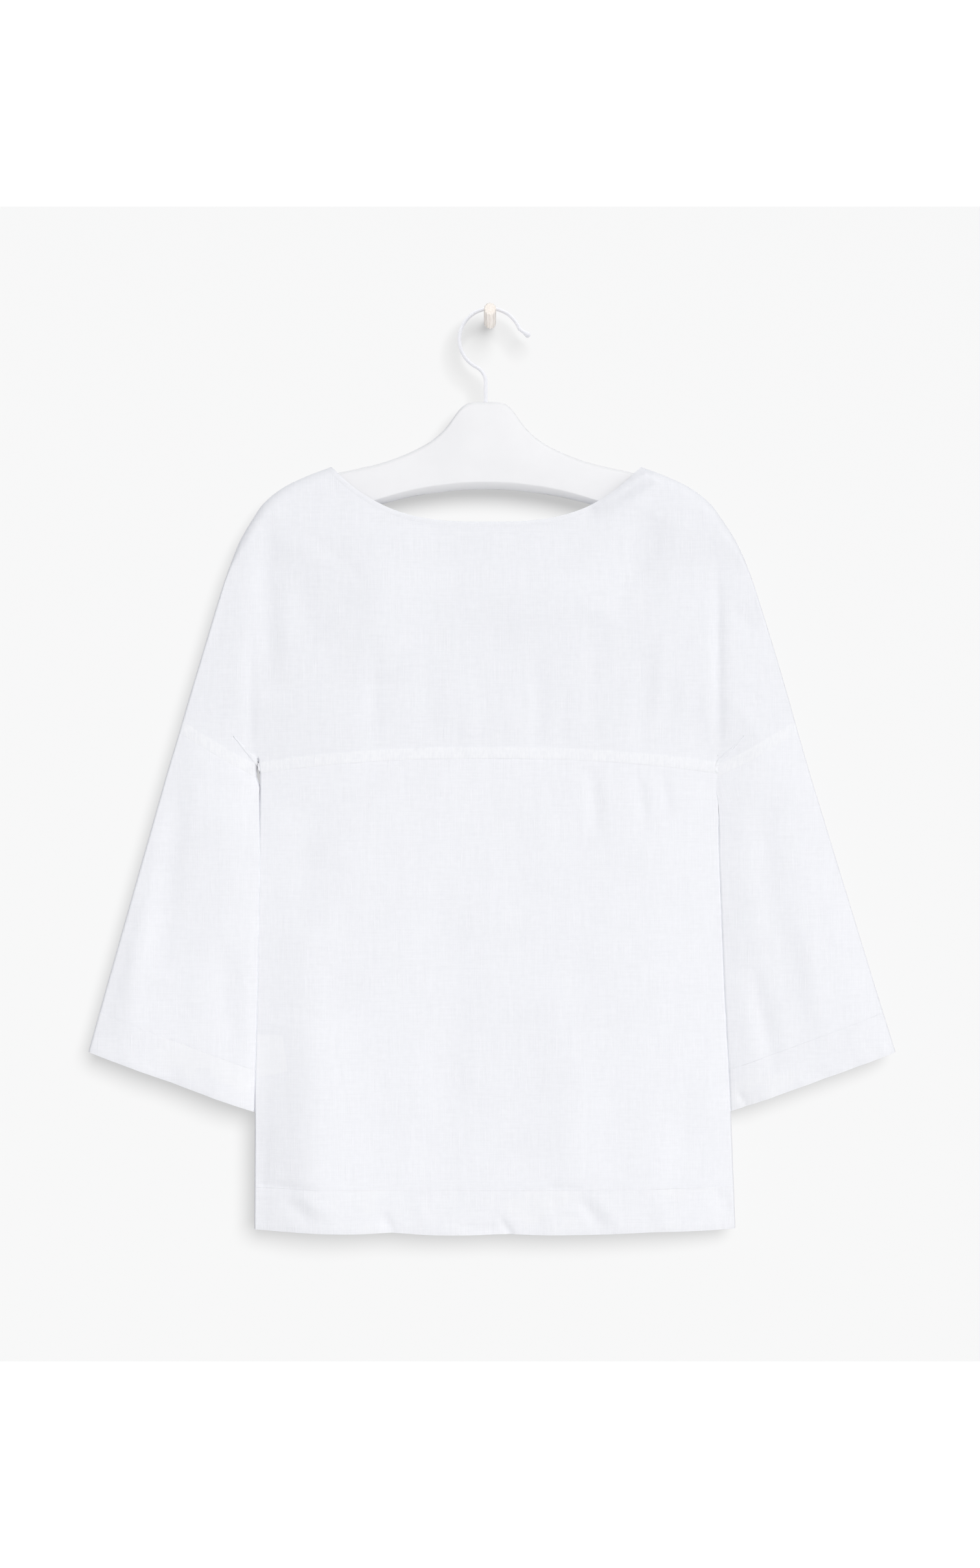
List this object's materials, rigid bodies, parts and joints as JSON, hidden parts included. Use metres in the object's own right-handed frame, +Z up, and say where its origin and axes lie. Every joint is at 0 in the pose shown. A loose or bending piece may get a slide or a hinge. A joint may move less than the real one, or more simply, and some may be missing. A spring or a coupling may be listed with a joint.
{
  "type": "linen blouse on a hanger and wall peg",
  "caption": "Boat-neck linen blouse with dropped shoulders, a yoke seam and flared sleeves, hanging open on a moulded hanger whose wire hook rests on a wooden wall peg.",
  "frame": {"origin": "centre of the wall end of the wooden peg, in the plane of the wall", "axes": "+Z up, +Y into the wall and away from the viewer, +X to the viewer's right; the back of the blouse faces -Y"},
  "size_m": [0.7836, 0.06, 0.8993],
  "materials": {
    "white_linen": "matt plain-woven white linen",
    "white_linen_doubled": "matt plain-woven white linen, turned up double",
    "white_linen_edge": "matt white linen, narrow rolled edge",
    "label_cloth": "smooth blank woven label",
    "white_plastic": "satin moulded white plastic",
    "white_painted_wire": "white-coated steel wire",
    "hook_tip_plastic": "smooth white plastic ball",
    "pale_wood": "pale fluted wood, unvarnished"
  },
  "bodies": {
    "root": {"back_yoke": "white_linen", "back_panel": "white_linen", "back_hem": "white_linen_doubled", "front_panel": "white_linen", "front_hem": "white_linen_doubled", "left_sleeve": "white_linen", "right_sleeve": "white_linen", "left_cuff": "white_linen_doubled", "right_cuff": "white_linen_doubled", "neck_binding": "white_linen_edge", "care_label": "label_cloth", "hanger_body": "white_plastic", "hanger_hook": "white_painted_wire", "hanger_hook_tip": "hook_tip_plastic", "wall_peg": "pale_wood"}
  },
  "joints": []
}
